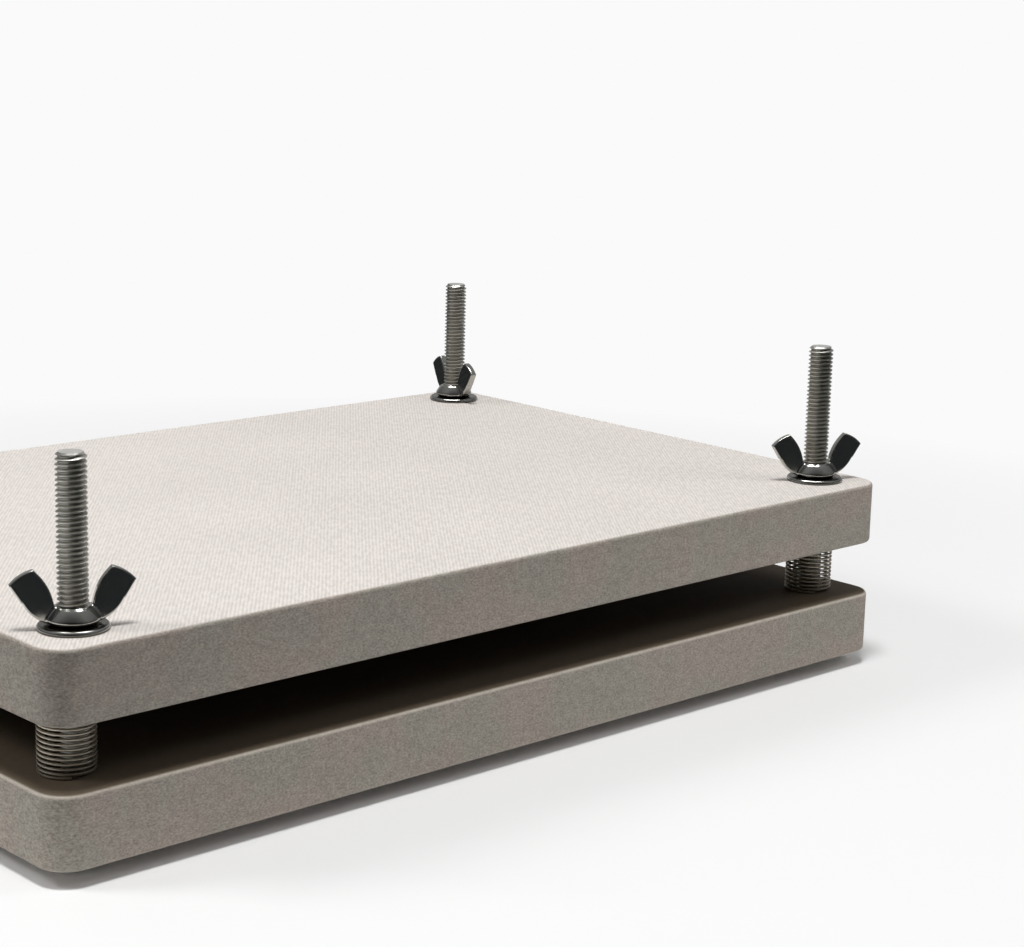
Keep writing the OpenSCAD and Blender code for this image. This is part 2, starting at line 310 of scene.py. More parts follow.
@dataclass(frozen=True)
class Fibreboard(Finish):
    """Dense fibreboard: one face pressed against a fine screen, one smooth, and sawn edges.

    A board's mesh says with its attributes where it is sawn and screened, and where its
    rounded rims take a painted highlight.

    Attributes:
        screened: Colour of the screened face on its ribs.
        fleck: Colour of the paler fibres in the sawn edges.
        rim_highlight: Colour of the painted highlight along the rounded edges, broken up by noise.
        screen_pitch: Distance between the ribs of the screen, in metres.
        screen_heading: Direction across the ribs, in degrees from X.
        cross_pitch: Pitch of the fainter ribs that cross them, as a share of theirs.
        cross_share: How much of the relief is made by these.
        wander: How far a rib strays from its line, in radians of its wave.
        valley_shade: Brightness between the ribs, as a share of that on them, painted as shade.
        rib_height: Height of the ribs, in metres.
        fibre_height: Height of the fibres in the sawn edges, in metres.
        lump_share: How much of the fibres' look is made by their coarser lumps.
    """

    screened: Colour = (0.735, 0.685, 0.644)
    # The smooth face's own darker brown, darkened further as painted shade for the gap between the boards.
    smooth_and_shade: Colour = (0.125, 0.098, 0.07)
    sawn: Colour = (0.255, 0.228, 0.199)
    fleck: Colour = (0.49, 0.446, 0.396)
    rim_highlight: Colour = (0.60, 0.545, 0.47)
    warm_tint: Colour = (1.03, 0.985, 0.975)
    cool_tint: Colour = (0.96, 0.99, 0.965)
    screen_pitch: float = 0.00096
    screen_heading: float = -39.0
    cross_pitch: float = 1.15
    cross_share: float = 0.3
    wander: float = 2.6
    valley_shade: float = 0.76
    rib_height: float = 0.00004
    fibre_height: float = 0.00016
    lump_share: float = 0.25
    roughness: float = 0.8
    shine: float = 0.25
    # Lumps in a metre of each noise
    wander_scale: float = 230.0
    grain_scale: float = 900.0
    cloud_scale: float = 22.0
    haze_scale: float = 700.0
    fibre_scale: float = 1250.0
    lump_scale: float = 420.0
    patch_scale: float = 55.0
    rim_highlight_scale: float = 260.0

    def ribs(self, graph: Graph, place: Any, heading: float, pitch: float) -> Term:
        """Adds one set of the screen's ribs.

        Args:
            graph: The material's tree.
            place: Object coordinates.
            heading: Direction across the ribs, in degrees from X.
            pitch: Distance between the ribs, in metres.

        Returns:
            A wave from 0, between the ribs, to 1, on them.
        """
        across = graph.parts(graph.stretched(place, (1.0, 1.0, 1.0), -heading))[0]
        phase = across * (FULL_TURN / pitch) + graph.noise(place, self.wander_scale) * self.wander
        return graph.ramp(graph.maths("SINE", phase), (-1.0, 1.0))

    def face(self, graph: Graph, place: Any) -> tuple[Socket, Term]:
        """Adds the screened face.

        Args:
            graph: The material's tree.
            place: Object coordinates.

        Returns:
            Its colour, and its relief from 0 to 1.
        """
        main_ribs = self.ribs(graph, place, self.screen_heading, self.screen_pitch)
        cross_ribs = self.ribs(
            graph, place, self.screen_heading + 90.0, self.screen_pitch * self.cross_pitch
        )
        screen = cross_ribs * self.cross_share + main_ribs * (1.0 - self.cross_share)
        grain = graph.stretched(place, (1.0, 0.3, 1.0), -self.screen_heading)
        grain_noise = graph.noise(grain, self.grain_scale, 2.0, 0.6)
        relief = screen + graph.ramp(grain_noise, (0.36, 0.64), (-0.3, 0.3))
        cloud = graph.ramp(graph.noise(place, self.cloud_scale, 3.0), (0.3, 0.7), (0.975, 1.02))
        # Painted shade: the valleys between the ribs are darker than the ribs.
        tone = graph.ramp(relief, (0.0, 1.0), (self.valley_shade, 1.0)) * cloud
        return graph.shaded(self.screened, tone), relief

    def edge(self, graph: Graph, place: Any) -> tuple[Socket, Term]:
        """Adds the sawn edges.

        Args:
            graph: The material's tree.
            place: Object coordinates.

        Returns:
            Their colour, and their relief from 0 to 1.
        """
        layered = graph.stretched(place, (1.0, 1.0, 1.6))
        fibres = graph.noise(layered, self.fibre_scale, 2.0, 0.65)
        lumps = graph.noise(layered, self.lump_scale, 2.0, 0.6)
        speck = fibres * (1.0 - self.lump_share) + lumps * self.lump_share
        colour = graph.blend(graph.ramp(speck, (0.33, 0.67)), self.sawn, self.fleck)
        patches = graph.ramp(graph.noise(place, self.patch_scale), (0.38, 0.62))
        tinted = graph.blend(1.0, colour, graph.blend(patches, self.warm_tint, self.cool_tint), "MULTIPLY")
        # Painted highlight along the rounded rims, broken up by a noise.
        highlight_break = graph.ramp(graph.noise(place, self.rim_highlight_scale, 3.0, 0.6), (0.35, 0.65), (0.55, 1.0))
        return graph.blend(graph.attribute("rim_lit") * highlight_break, tinted, self.rim_highlight), speck

    def fill(self, graph: Graph, shader: Node) -> None:
        """Feeds the shader.

        Args:
            graph: The material's tree.
            shader: Its principled shader.
        """
        place = graph.place()
        sawn, screened = graph.attribute("sawn"), graph.attribute("screened")
        face, relief = self.face(graph, place)
        edge, speck = self.edge(graph, place)
        haze = graph.ramp(graph.noise(place, self.haze_scale, 3.0, 0.6), (0.3, 0.7), (0.93, 1.07))
        flat = graph.blend(screened, graph.shaded(self.smooth_and_shade, haze), face)
        height = graph.between(sawn, relief * screened * self.rib_height, speck * self.fibre_height)
        inputs = {
            "Base Color": graph.blend(sawn, flat, edge),
            "Roughness": self.roughness,
            "Specular IOR Level": self.shine,
            "Normal": graph.add("ShaderNodeBump", {"Strength": 1.0, "Distance": 1.0, "Height": height}),
        }
        graph.feed(shader, inputs)


@dataclass(frozen=True)
class PlatedSteel(Finish):
    """Zinc-plated or bare steel with fine wear.

    Attributes:
        colour: Colour of the clean metal.
        dirt_and_shade: Colour of the darker wear, and of the painted shade that the piece's mark asks for.
        gloss: Least and most roughness over the piece.
        shade_dirt_marked: Whether the piece has a shade_dirt_mark attribute: from 0 to 1 towards
        the dark colour, which paints shade on the washers and darkens the bolts' thread roots,
        and -1 where the metal is freshly cut.
        cut: Colour of freshly cut metal.
        scale: Lumps of wear in a metre.
        grain_height: Height of the fine grain, in metres.
        grain_strength: How much of the fine grain shows.
    """

    colour: Colour
    dirt_and_shade: Colour
    gloss: Point2
    shade_dirt_marked: bool = False
    cut: Colour = (0.80, 0.79, 0.76)
    scale: float = 260.0
    grain_share: float = 9.0
    grain_height: float = 0.00002
    grain_strength: float = 0.2

    def fill(self, graph: Graph, shader: Node) -> None:
        """Feeds the shader.

        Args:
            graph: The material's tree.
            shader: Its principled shader.
        """
        place = graph.place()
        wear = graph.noise(place, self.scale, 4.0, 0.6)
        colour = graph.blend(graph.ramp(wear, (0.42, 0.72), (0.0, 0.5)), self.colour, self.dirt_and_shade)
        # The mark paints shade on the washers, darkens the bolts' thread roots, and at -1 gives freshly cut
        # metal.
        if self.shade_dirt_marked:
            shade_dirt_mark = graph.attribute("shade_dirt_mark")
            colour = graph.blend(graph.ramp(shade_dirt_mark, (0.1, 1.0)), colour, self.dirt_and_shade)
            colour = graph.blend(graph.ramp(shade_dirt_mark, (-1.0, -0.5), (1.0, 0.0)), colour, self.cut)
        grain = {
            "Strength": self.grain_strength,
            "Distance": self.grain_height,
            "Height": graph.noise(place, self.scale * self.grain_share),
        }
        inputs = {
            "Base Color": colour,
            "Metallic": 1.0,
            "Roughness": graph.ramp(wear, (0.3, 0.7), self.gloss),
            "Normal": graph.add("ShaderNodeBump", grain),
        }
        graph.feed(shader, inputs)


BOARD_FINISH = Fibreboard("pressed_fibreboard")
BOLT_FINISH = PlatedSteel(
    "dull_zinc_thread", (0.68, 0.67, 0.625), dirt_and_shade=(0.33, 0.325, 0.285), gloss=(0.33, 0.46), shade_dirt_marked=True
)
NUT_FINISH = PlatedSteel("bright_zinc", (0.50, 0.50, 0.48), dirt_and_shade=(0.36, 0.37, 0.31), gloss=(0.1, 0.19))
# The washers' dark colour is painted shade and painted reflection.
WASHER_FINISH = PlatedSteel(
    "stamped_zinc", (0.56, 0.56, 0.545), dirt_and_shade=(0.12, 0.115, 0.10), gloss=(0.14, 0.24), shade_dirt_marked=True
)
SPRING_FINISH = PlatedSteel("drawn_wire", (0.56, 0.515, 0.43), dirt_and_shade=(0.33, 0.298, 0.24), gloss=(0.38, 0.52))


def ring_points(radius: float, z: float, sides: int, square_share: float = 0.0) -> list[Vector]:
    """Returns the points of a round or square ring about Z.

    Args:
        radius: Radius of the ring, or half of a square's side.
        z: Height of the ring.
        sides: Number of points, a multiple of 8 for a square.
        square_share: 0 for a round ring and 1 for a square one.
    """
    points = []
    for number in range(sides):
        angle = FULL_TURN * number / sides
        along, across = math.cos(angle), math.sin(angle)
        reach = radius * (1 - square_share + square_share / max(abs(along), abs(across)))
        points.append(Vector((reach * along, reach * across, z)))
    return points


def add_ring(bm: BMesh, points: list[Vector]) -> Ring:
    """Adds the points of one ring to a mesh, and returns its vertices."""
    return [bm.verts.new(point) for point in points]


def bridge(bm: BMesh, rings: list[Ring]) -> None:
    """Joins each ring to the next with a band of four-sided faces.

    Args:
        bm: The mesh.
        rings: Closed rings, all with as many vertices.
    """
    for lower, upper in zip(rings, rings[1:]):
        count = len(lower)
        for number in range(count):
            after = (number + 1) % count
            bm.faces.new((lower[number], lower[after], upper[after], upper[number]))


def turn_section(bm: BMesh, section: list[tuple[float, ...]], sides: int, closed: bool = False) -> list[Ring]:
    """Turns a section about Z into bands of faces, and returns its rings.

    Args:
        bm: The mesh.
        section: Radius and height of each ring, and 1 as third where it is square.
        sides: Number of points of each ring.
        closed: Whether the last ring is joined to the first.
    """
    rings = [add_ring(bm, ring_points(radius, z, sides, *square)) for radius, z, *square in section]
    bridge(bm, rings + rings[:1] if closed else rings)
    return rings


def ring_edges(bm: BMesh, ring: Ring) -> list[bmesh.types.BMEdge]:
    """Returns the edges round a ring, made where they don't exist."""
    pairs = zip(ring, ring[1:] + ring[:1])
    return [bm.edges.get(pair) or bm.edges.new(pair) for pair in pairs]


def arc(centre: Point2, radius: float, start: float, end: float, steps: int) -> list[Point2]:
    """Returns the points of an arc in a section, with both ends.

    Args:
        centre: Its centre.
        radius: Its radius.
        start: Direction of its first point, in degrees.
        end: Direction of its last point, in degrees.
        steps: Number of straight pieces.
    """
    points = []
    for step in range(steps + 1):
        angle = math.radians(start + (end - start) * step / steps)
        points.append((centre[0] + radius * math.cos(angle), centre[1] + radius * math.sin(angle)))
    return points


def close_mesh(bm: BMesh, name: str, merge: float = 0.002) -> Mesh:
    """Merges doubles, turns the faces outwards and returns the mesh, still in millimetres.

    Args:
        bm: The mesh, which is freed.
        name: Name of the new mesh.
        merge: Distance under which vertices are one.
    """
    bmesh.ops.remove_doubles(bm, verts=bm.verts, dist=merge)
    bmesh.ops.dissolve_degenerate(bm, edges=bm.edges, dist=merge / 4)
    bmesh.ops.recalc_face_normals(bm, faces=bm.faces)
    mesh = bpy.data.meshes.new(name)
    bm.to_mesh(mesh)
    bm.free()
    return mesh


def put_in_scene(name: str, data: bpy.types.ID) -> Object:
    """Returns a new object of the scene, at the origin.

    Args:
        name: Its name.
        data: The mesh, lamp or camera that it holds.
    """
    made = bpy.data.objects.new(name, data)
    bpy.context.scene.collection.objects.link(made)
    return made


def finish_piece(name: str, mesh: Mesh, place: Matrix, finish: Finish, crease: float = 32.0) -> Object:
    """Puts a mesh in its place, in metres, and dresses it.

    Args:
        name: Name of the piece.
        mesh: Its mesh, in millimetres.
        place: Where the mesh stands, in millimetres.
        finish: Its finish.
        crease: Edges that turn by more than this many degrees stay sharp.

    Returns:
        The piece, whose object sits at the origin.
    """
    mesh.name = name
    mesh.transform(Matrix.Scale(METRES_PER_MM, 4) @ place)
    mesh.materials.clear()
    mesh.materials.append(finish.material())
    mesh.shade_smooth()
    mesh.set_sharp_from_angle(angle=math.radians(crease))
    LOG.info("%s: %d faces, finish %s", name, len(mesh.polygons), finish.name)
    return put_in_scene(name, mesh)


def evaluated_mesh(carrier: Object) -> Mesh:
    """Returns an object's mesh with its modifiers applied, and removes the object.

    Args:
        carrier: An object whose modifiers make the mesh.
    """
    graph = bpy.context.evaluated_depsgraph_get()
    mesh = bpy.data.meshes.new_from_object(carrier.evaluated_get(graph))
    bpy.data.objects.remove(carrier)
    return mesh


class GeometryRecipe:
    """A geometry node group with named inputs, and how to run it."""

    def __init__(self, name: str, sizes: tuple[str, ...], counts: tuple[str, ...]) -> None:
        """Makes a group whose inputs are sizes, counts and a material.

        Args:
            name: Name of the group.
            sizes: Names of the inputs that are lengths, shares or turns.
            counts: Names of the inputs that are whole numbers.
        """
        self.group = bpy.data.node_groups.new(name, "GeometryNodeTree")
        self.graph = Graph(self.group)
        kinds = dict.fromkeys(sizes, "NodeSocketFloat") | dict.fromkeys(counts, "NodeSocketInt")
        kinds["Material"] = "NodeSocketMaterial"
        self.sockets: dict[str, str] = {}
        for title, kind in kinds.items():
            socket = self.group.interface.new_socket(title, in_out="INPUT", socket_type=kind)
            self.sockets[title] = socket.identifier
        self.group.interface.new_socket("Geometry", in_out="OUTPUT", socket_type="NodeSocketGeometry")
        self.entry = self.graph.add("NodeGroupInput")
        self.given = [Term(self.graph, self.entry.outputs[title]) for title in (*sizes, *counts)]

    def mark(self, geometry: Any, name: str, value: Any) -> Node:
        """Adds a named attribute to the points of a geometry, and returns its node."""
        inputs = {0: geometry, "Name": name, "Value": value}
        return self.graph.add(
            "GeometryNodeStoreNamedAttribute", inputs, data_type="FLOAT", domain="POINT"
        )

    def deliver(self, geometry: Any) -> None:
        """Ends the tree with real geometry that has the given material.

        Args:
            geometry: What the tree has made.
        """
        real = self.graph.add("GeometryNodeRealizeInstances", {0: geometry})
        material = self.entry.outputs["Material"]
        dressed = self.graph.add("GeometryNodeSetMaterial", {0: real, "Material": material})
        self.graph.add("NodeGroupOutput", {0: dressed})

    def run(self, values: dict[str, Any]) -> Mesh:
        """Runs the tree once and returns the mesh that it makes.

        Args:
            values: A value for each input, by name.
        """
        carrier = put_in_scene(self.group.name, bpy.data.meshes.new(self.group.name))
        modifier = carrier.modifiers.new(self.group.name, "NODES")
        modifier.node_group = self.group
        for title, value in values.items():
            modifier[self.sockets[title]] = value
        return evaluated_mesh(carrier)


class ThreadRecipe(GeometryRecipe):
    """Screw thread round Z: a grid rolled into a tube whose rows climb as a helix."""

    ROWS_IN_PITCH = 4
    # Where the crest and the root of the standard profile start and end, in pitches
    RISES = (0.0, 1 / 8, 7 / 16, 11 / 16)
    # How deep the thread is there, from crest to root
    DEPTHS = (0.0, 0.0, 1.0, 1.0)
    MERGE = 0.002

    def __init__(self) -> None:
        """Builds the tree."""
        sizes = ("Pitch", "Crest", "Root", "Bottom", "Top", "Bevel", "Phase")
        super().__init__("screw_thread", sizes, ("Rows", "Sides"))
        pitch, crest, root, bottom, top, bevel, phase, rows, sides = self.given
        graph, maths = self.graph, self.graph.maths
        square = {"Size X": 1.0, "Size Y": 1.0}
        grid = graph.add(
            "GeometryNodeMeshGrid", {**square, "Vertices X": sides + 1.0, "Vertices Y": rows}
        )
        grid_x, grid_y, _ = graph.parts(graph.add("GeometryNodeInputPosition"))
        around = grid_x + 0.5
        row = maths("ROUND", (grid_y + 0.5) * (rows - 1.0))
        turn = maths("FLOOR", (row + 0.5) / float(self.ROWS_IN_PITCH))
        step = row - turn * float(self.ROWS_IN_PITCH)
        climbed = turn + self.choose(step, self.RISES) + (around + phase)
        # The grid starts two turns low, and what lies under the bottom is pressed flat there
        start = maths("MULTIPLY_ADD", climbed, pitch, bottom) - pitch * 2.0
        height = maths("MINIMUM", maths("MAXIMUM", start, bottom), top)
        depth = maths("MAXIMUM", self.choose(step, self.DEPTHS), maths("LESS_THAN", start, bottom))
        threaded = crest - depth * (crest - root)
        bevelled = crest - bevel + maths("MAXIMUM", top - start, 0.0)
        radius = maths("MINIMUM", threaded, bevelled)
        angle = around * FULL_TURN
        place = graph.joined(radius * maths("COSINE", angle), radius * maths("SINE", angle), height)
        # This mark is the thread's depth: a finish that reads it is darker towards the roots.
        marked = self.mark(grid, "shade_dirt_mark", depth)
        rolled = graph.add("GeometryNodeSetPosition", {0: marked, "Position": place})
        self.deliver(graph.add("GeometryNodeMergeByDistance", {0: rolled, "Distance": self.MERGE}))

    def choose(self, step: Any, values: tuple[float, ...]) -> Term:
        """Adds a choice among the values for the rows of one pitch.

        Args:
            step: Number of the row in its pitch.
            values: One value for each row.

        Returns:
            The chosen value.
        """
        node = self.graph.add("GeometryNodeIndexSwitch", data_type="FLOAT")
        while len(node.index_switch_items) < len(values):
            node.index_switch_items.new()
        self.graph.feed(node, {0: step, **{1 + number: value for number, value in enumerate(values)}})
        return Term(self.graph, node.outputs[0])

    def rolled(self, finish: Finish, turns: int, **sizes: float) -> BMesh:
        """Returns one thread as an open mesh.

        Args:
            finish: Its finish.
            turns: Number of turns of the grid that it is rolled from.
            sizes: Values of the tree's other inputs, by their names in small letters.
        """
        values = {title.capitalize(): value for title, value in sizes.items()}
        values |= {"Rows": self.ROWS_IN_PITCH * turns, "Material": finish.material()}
        bm = bmesh.new()
        bm.from_mesh(self.run(values))
        return bm


class SpringRecipe(GeometryRecipe):
    """Compression spring: a helix that closes at its ends, swept as a round wire."""

    def __init__(self) -> None:
        """Builds the tree."""
        sizes = ("Turns", "Coil Radius", "Wire Radius", "Rise", "Dead Turns", "Dead Pitch")
        super().__init__("compression_spring", sizes, ("Rings", "Sides"))
        turns, coil_radius, wire_radius, rise, dead, dead_pitch, rings, sides = self.given
        graph, maths = self.graph, self.graph.maths
        coil = {"Start Radius": coil_radius, "End Radius": coil_radius}
        helix = graph.add(
            "GeometryNodeCurveSpiral", {"Resolution": rings, "Rotations": turns, "Height": rise, **coil}
        )
        factor = Term(graph, graph.add("GeometryNodeSplineParameter").outputs["Factor"])
        turned = factor * turns
        from_top = maths("MINIMUM", turns - turned, dead)
        closed_turns = maths("MINIMUM", turned, dead) + (dead - from_top)
        live_pitch = (rise - dead * 2.0 * dead_pitch) / (turns - dead * 2.0)
        height = maths("MULTIPLY_ADD", turned - closed_turns, live_pitch, closed_turns * dead_pitch)
        x, y, _ = graph.parts(graph.add("GeometryNodeInputPosition"))
        marked = self.mark(helix, "climb", height / rise)
        place = graph.joined(x, y, height)
        closed_helix = graph.add("GeometryNodeSetPosition", {0: marked, "Position": place})
        wire = graph.add(
            "GeometryNodeCurvePrimitiveCircle", {"Resolution": sides, "Radius": wire_radius}
        )
        self.deliver(graph.add("GeometryNodeCurveToMesh", {0: closed_helix, 1: wire, "Fill Caps": True}))


@dataclass
class Board:
    """One of the two boards, with rounded corners and edges and a hole for each bolt.

    Attributes:
        screened_side: 1 where its upper face is the screened one, -1 where its underside is.
        neck_half: Half the side of the square pocket under each hole, or 0 for none.
        neck_depth: Depth of that pocket.
        edge_radius: Radius of the round along its top and bottom edges.
        support: Width of the flat strips that keep the faces beside a round flat in shading.
        relief: Size of the bevel at the mouth of each hole.
        wrap: How quickly the sawn look sets in along the rounded edges.
        rim_highlights: How much painted highlight its bottom and top rounded edges take, from 0 to 1.
    """

    node: str
    body: Body
    screened_side: int
    hole_radius: float
    neck_half: float = 0.0
    neck_depth: float = 0.0
    corner_radius: float = 8.5
    edge_radius: float = 1.0
    support: float = 0.5
    relief: float = 0.25
    wrap: float = 4.0
    rim_highlights: Point2 = (0.0, 0.1)
    corner_steps: int = 20
    edge_steps: int = 6
    hole_sides: int = 48

    def outline(self, inset: float, z: float) -> list[Vector]:
        """Returns the board's outline at one height.

        Args:
            inset: How far the outline lies inside the board's own.
            z: Its height.
        """
        low, high = box_mm(self.node)
        points = []
        for quarter, (side_x, side_y) in enumerate(((1, 1), (-1, 1), (-1, -1), (1, -1))):
            centre_x = (low.x + high.x) / 2 + side_x * ((high.x - low.x) / 2 - self.corner_radius)
            centre_y = (low.y + high.y) / 2 + side_y * ((high.y - low.y) / 2 - self.corner_radius)
            start, radius = 90 * quarter, self.corner_radius - inset
            turned = arc((centre_x, centre_y), radius, start, start + 90, self.corner_steps)
            heading = Vector((-math.sin(math.radians(start)), math.cos(math.radians(start))))
            before = Vector(turned[0]) - self.support * heading
            after = Vector(turned[-1]) + self.support * Vector((-heading.y, heading.x))
            points += [Vector((x, y, z)) for x, y in (before, *turned, after)]
        return points

    def section(self, bottom: float, top: float) -> list[tuple[float, float, float, float]]:
        """Returns the steps of the board's rim: inset, height, how sawn each is and its painted highlight.

        Args:
            bottom: Height of the board's underside.
            top: Height of its upper face.
        """
        radius = self.edge_radius
        rims = ((bottom, radius, 270, 180), (top, -radius, 180, 90))
        steps = []
        # Each rounded rim takes its painted highlight most at the middle of its round.
        for (height, inwards, start, end), rim_highlight in zip(rims, self.rim_highlights):
            turned = arc((radius, height + inwards), radius, start, end, self.edge_steps)
            for number, (inset, z) in enumerate(turned):
                share = number / self.edge_steps
                sawn = min(1.0, self.wrap * abs(z - height) / radius)
                steps.append((inset, z, sawn, rim_highlight * 4 * share * (1 - share)))
        flat, middle = radius + self.support, self.edge_steps + 1
        steps[middle:middle] = [(0.0, bottom + flat, 1.0, 0.0), (0.0, top - flat, 1.0, 0.0)]
        return [(flat, bottom, 0.0, 0.0), *steps, (flat, top, 0.0, 0.0)]

    def hole_rings(self, bottom: float, top: float) -> list[list[Vector]]:
        """Returns the rings of one hole about its axis, from the upper face down.

        Args:
            bottom: Height of the board's underside.
            top: Height of its upper face.
        """
        radius, relief, strip = self.hole_radius, self.relief, self.support
        steps = [(radius + relief + strip, top, 0), (radius + relief, top, 0), (radius, top - relief, 0)]
        mouth, square = radius, 0
        if self.neck_half:
            ceiling = bottom + self.neck_depth
            mouth, square = self.neck_half, 1
            steps += [(radius, ceiling, 0), (mouth, ceiling, square)]
        steps += [(mouth, bottom + relief, square), (mouth + relief, bottom, square)]
        steps.append((mouth + relief + strip, bottom, square))
        return [ring_points(reach, z, self.hole_sides, square) for reach, z, square in steps]

    def build(self) -> Object:
        """Returns the finished board."""
        low, high = box_mm(self.node)
        bm = bmesh.new()
        # Attributes for where the board is sawn, where its rims take a painted highlight, and where it is
        # screened.
        sawn, rim_lit, screened = (bm.verts.layers.float.new(name) for name in ("sawn", "rim_lit", "screened"))
        rims = []
        for inset, z, sawn_share, rim_lit_share in self.section(low.z, high.z):
            rims.append(add_ring(bm, self.outline(inset, z)))
            for vert in rims[-1]:
                vert[sawn], vert[rim_lit] = sawn_share, rim_lit_share
        bridge(bm, rims)
        floor_edges, ceiling_edges = ring_edges(bm, rims[0]), ring_edges(bm, rims[-1])
        for corner in CORNERS:
            shift = corner.spot(0.0)
            holes = self.hole_rings(low.z, high.z)
            rings = [add_ring(bm, [point + shift for point in hole]) for hole in holes]
            for ring in rings[2:-2]:
                for vert in ring:
                    vert[sawn] = 1.0
            bridge(bm, rings)
            ceiling_edges += ring_edges(bm, rings[0])
            floor_edges += ring_edges(bm, rings[-1])
        for edges, side in ((ceiling_edges, 1), (floor_edges, -1)):
            bmesh.ops.triangle_fill(bm, use_beauty=True, edges=edges, normal=(0.0, 0.0, side))
        middle = (low.z + high.z) / 2
        for vert in bm.verts:
            vert[screened] = 1.0 if (vert.co.z - middle) * self.screened_side > 0 else 0.0
        piece = finish_piece(self.node + "_pressed", close_mesh(bm, self.node), Matrix(), BOARD_FINISH)
        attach(piece, self.body.value)
        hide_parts(self.node)
        return piece


@dataclass
class CoachBolt:
    """A bolt with a domed head, a square neck and a thread up to its bevelled tip.

    Attributes:
        corner: Where it stands.
        phase: How far the thread is turned, in turns.
        tip_land: Width of the strip that keeps the tip's face flat in shading.
        land_radius: Radius of the flat crown on which the bolt stands.
        sole_share: How much of that crown one face takes.
        rim_height: Height of the head's upright rim.
        neck_bevel: Height over which the square neck turns round.
        shank_bevel: Height over which the shank narrows to the thread.
        spare_turns: Turns of the thread's grid beyond those that show.
    """

    corner: Corner
    thread: ThreadRecipe
    crest_radius: float = 3.8
    root_radius: float = 3.12
    pitch: float = 1.25
    phase: float = 0.0
    tip_bevel: float = 0.8
    tip_land: float = 0.2
    head_radius: float = 10.0
    head_height: float = 4.4
    land_radius: float = 3.0
    sole_share: float = 0.8
    rim_height: float = 0.8
    rim_round: float = 0.3
    neck_half: float = 4.1
    neck_height: float = 4.5
    neck_bevel: float = 0.5
    shank_height: float = 2.0
    shank_bevel: float = 0.4
    spare_turns: int = 5
    sides: int = 64
    dome_steps: int = 12
    rim_steps: int = 4

    @property
    def thread_start(self) -> float:
        """Height at which the thread starts."""
        return self.head_height + self.neck_height + self.shank_height

    def head_section(self) -> list[tuple[float, ...]]:
        """Returns the rings of the head and neck: radius, height, and 1 where they are square."""
        head, land, top, rim = self.head_radius, self.land_radius, self.head_height, self.rim_round
        dome = top - self.rim_height
        centre = (head**2 + dome**2 - land**2) / (2 * dome)
        ball = math.hypot(land, centre)
        steps: list[tuple[float, ...]] = [(land * self.sole_share, 0.0), (land, 0.0)]
        for number in range(1, self.dome_steps + 1):
            radius = land + (head - land) * number / self.dome_steps
            steps.append((radius, centre - math.sqrt(ball**2 - radius**2)))
        steps += arc((head - rim, top - rim), rim, 0, 90, self.rim_steps)
        neck_top = top + self.neck_height
        steps += [(self.neck_half, top, 1.0), (self.neck_half, neck_top - self.neck_bevel, 1.0)]
        steps += [(self.crest_radius, neck_top), (self.crest_radius, self.thread_start - self.shank_bevel)]
        return steps + [(self.root_radius, self.thread_start)]

    def build(self) -> Object:
        """Returns the finished bolt."""
        node = "bolt_" + self.corner.name
        low, high = box_mm(node)
        bm = self.thread.rolled(
            BOLT_FINISH,
            int((high.z - self.thread_start) / self.pitch) + self.spare_turns,
            pitch=self.pitch,
            crest=self.crest_radius,
            root=self.root_radius,
            bottom=self.thread_start,
            top=high.z,
            bevel=self.tip_bevel,
            phase=self.phase,
            sides=self.sides,
        )
        bm.faces.new(turn_section(bm, self.head_section(), self.sides)[0])
        shade_dirt_mark = bm.verts.layers.float["shade_dirt_mark"]
        rim = self.crest_radius - self.tip_bevel
        tip, inner = turn_section(bm, [(rim, high.z), (rim - self.tip_land, high.z)], self.sides)
        for vert in tip + inner:
            vert[shade_dirt_mark] = -1.0
        bm.faces.new(inner)
        place = Matrix.Translation(self.corner.spot(low.z))
        piece = finish_piece(node + "_threaded", close_mesh(bm, node), place, BOLT_FINISH)
        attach(piece, Body.BASE.value)
        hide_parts(node)
        return piece


